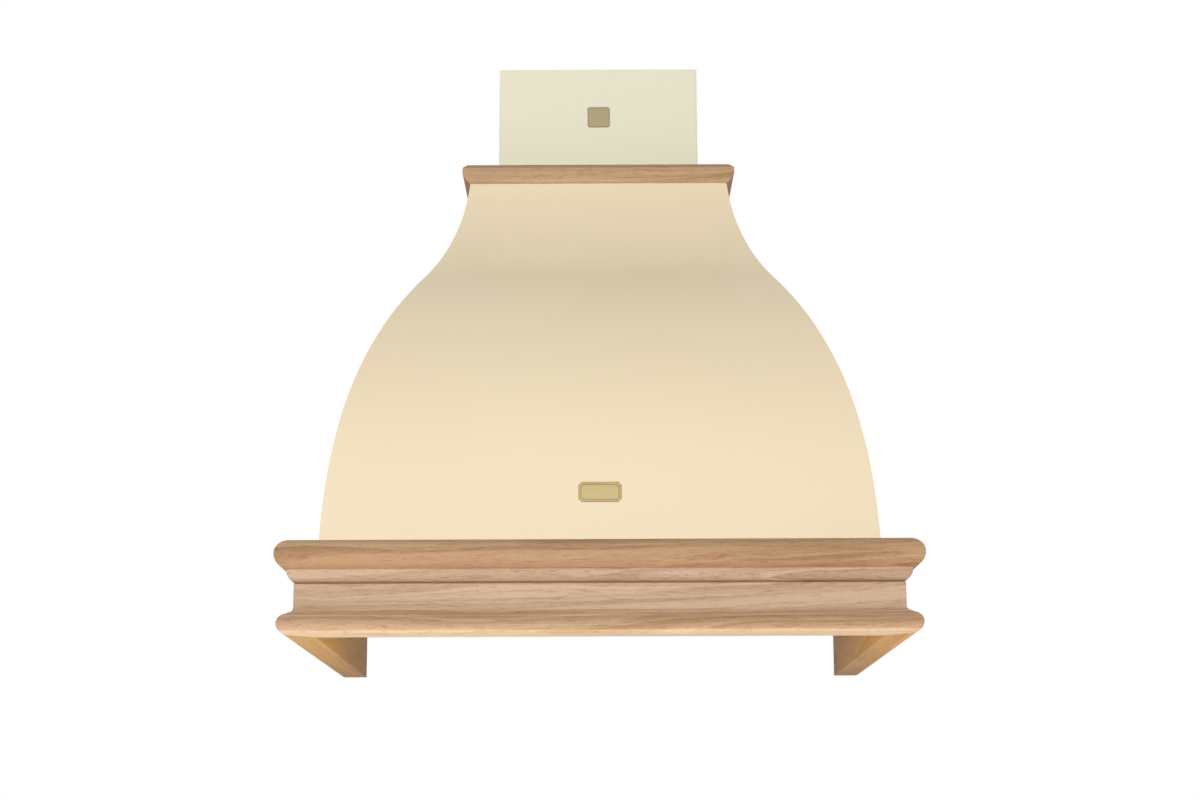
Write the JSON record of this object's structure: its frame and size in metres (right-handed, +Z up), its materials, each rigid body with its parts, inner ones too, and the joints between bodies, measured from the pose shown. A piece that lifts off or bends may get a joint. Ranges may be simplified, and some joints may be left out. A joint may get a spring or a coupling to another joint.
{
  "type": "range hood",
  "caption": "Wall range hood with a moulded beech frame, a curved ivory dome, beech neck trim and a sliding chimney cover over a ducted blower.",
  "frame": {"origin": "middle of the four hanging holes, on the wall plane", "axes": "+Z up, +Y into the wall, +X to the right of someone facing the hood"},
  "size_m": [0.6, 0.48, 0.645],
  "materials": {
    "beech": "oiled natural beech, satin",
    "dome_paint": "ivory powder coat, satin",
    "chimney_paint": "pale ivory powder coat, satin",
    "galvanised": "galvanised sheet",
    "filter_aluminium": "mill finish frame and expanded mesh",
    "latch_plastic": "fine textured plastic",
    "lamp_metal": "satin bezel",
    "lamp_heat_sink": "cast heat sink",
    "lens": "frosted glass",
    "control_plastic": "fine textured ivory plastic",
    "button_plastic": "smooth ivory plastic",
    "switch_plastic": "moulded switch housing",
    "blower_plastic": "moulded grey housing",
    "wheel_plastic": "moulded dark wheel",
    "motor_steel": "pressed shields and laminated stack",
    "steel": "bright zinc",
    "terminal_plastic": "moulded box",
    "capacitor_can": "smooth plastic can"
  },
  "bodies": {
    "hood": {"front_panel": "dome_paint", "left_panel": "dome_paint", "right_panel": "dome_paint", "back_plate": "galvanised", "top_plate": "dome_paint", "underside_panel": "dome_paint", "chimney_guide_left": "galvanised", "chimney_guide_right": "galvanised", "chimney_stop_left": "galvanised", "chimney_stop_right": "galvanised", "front_rail": "beech", "left_rail": "beech", "right_rail": "beech", "top_trim_front": "beech", "top_trim_left": "beech", "top_trim_right": "beech", "control_plate": "control_plastic", "switch_block": "switch_plastic", "motor": "motor_steel", "motor_bracket": "galvanised", "outlet_collar": "blower_plastic", "flap_pin": "steel", "terminal_box": "terminal_plastic", "terminal_lid": "terminal_plastic", "cable_gland": "switch_plastic", "capacitor": "capacitor_can", "capacitor_clip": "galvanised", "lamp_bezel_left": "lamp_metal", "lamp_lens_left": "lens", "lamp_body_left": "lamp_heat_sink", "blower_housing_left": "blower_plastic", "blower_bracket_left": "galvanised", "lamp_bezel_right": "lamp_metal", "lamp_lens_right": "lens", "lamp_body_right": "lamp_heat_sink", "blower_housing_right": "blower_plastic", "blower_bracket_right": "galvanised"},
    "chimney": {"chimney_cover": "chimney_paint"},
    "filter_left": {"filter_frame_left": "filter_aluminium", "filter_mesh_left": "filter_aluminium"},
    "filter_right": {"filter_frame_right": "filter_aluminium", "filter_mesh_right": "filter_aluminium"},
    "latch_left": {"filter_latch_left": "latch_plastic"},
    "latch_right": {"filter_latch_right": "latch_plastic"},
    "fan": {"impeller": "wheel_plastic", "impeller_cage_left": "wheel_plastic", "impeller_cage_right": "wheel_plastic", "impeller_nut": "steel", "motor_shaft": "steel"},
    "flap_front": {"flap_front": "blower_plastic"},
    "flap_rear": {"flap_rear": "blower_plastic"},
    "button_off": {"button_off": "button_plastic"},
    "button_speed_1": {"button_speed_1": "button_plastic"},
    "button_speed_2": {"button_speed_2": "button_plastic"},
    "button_speed_3": {"button_speed_3": "button_plastic"},
    "button_light": {"button_light": "button_plastic"}
  },
  "joints": [
    {"name": "chimney_slide", "type": "slide", "parent": "hood", "child": "chimney", "axis": [0, 0, 1], "range_m": [0, 0.15]},
    {"name": "filter_left_hinge", "type": "hinge", "parent": "hood", "child": "filter_left", "pos_m": [-0.1205, -0.04, -0.247], "axis": [1, 0, 0], "range_deg": [0, 60]},
    {"name": "filter_right_hinge", "type": "hinge", "parent": "hood", "child": "filter_right", "pos_m": [0.1205, -0.04, -0.247], "axis": [1, 0, 0], "range_deg": [0, 60]},
    {"name": "latch_left_slide", "type": "slide", "parent": "filter_left", "child": "latch_left", "axis": [0, -1, 0], "range_m": [0, 0.0045]},
    {"name": "latch_right_slide", "type": "slide", "parent": "filter_right", "child": "latch_right", "axis": [0, -1, 0], "range_m": [0, 0.0045]},
    {"name": "fan_spin", "type": "hinge", "parent": "hood", "child": "fan", "pos_m": [0, -0.159, -0.1], "axis": [1, 0, 0], "continuous": true},
    {"name": "flap_front_hinge", "type": "hinge", "parent": "hood", "child": "flap_front", "pos_m": [0, -0.105, 0.0325], "axis": [-1, 0, 0], "range_deg": [0, 75]},
    {"name": "flap_rear_hinge", "type": "hinge", "parent": "hood", "child": "flap_rear", "pos_m": [0, -0.105, 0.0325], "axis": [1, 0, 0], "range_deg": [0, 75]},
    {"name": "button_off_press", "type": "slide", "parent": "hood", "child": "button_off", "axis": [0, 0, 1], "range_m": [0, 0.003], "stiffness_N_per_m": 300, "springref_m": -0.002},
    {"name": "button_speed_1_press", "type": "slide", "parent": "hood", "child": "button_speed_1", "axis": [0, 0, 1], "range_m": [0, 0.003], "stiffness_N_per_m": 300, "springref_m": -0.002},
    {"name": "button_speed_2_press", "type": "slide", "parent": "hood", "child": "button_speed_2", "axis": [0, 0, 1], "range_m": [0, 0.003], "stiffness_N_per_m": 300, "springref_m": -0.002},
    {"name": "button_speed_3_press", "type": "slide", "parent": "hood", "child": "button_speed_3", "axis": [0, 0, 1], "range_m": [0, 0.003], "stiffness_N_per_m": 300, "springref_m": -0.002},
    {"name": "button_light_press", "type": "slide", "parent": "hood", "child": "button_light", "axis": [0, 0, 1], "range_m": [0, 0.003], "stiffness_N_per_m": 300, "springref_m": -0.002}
  ]
}
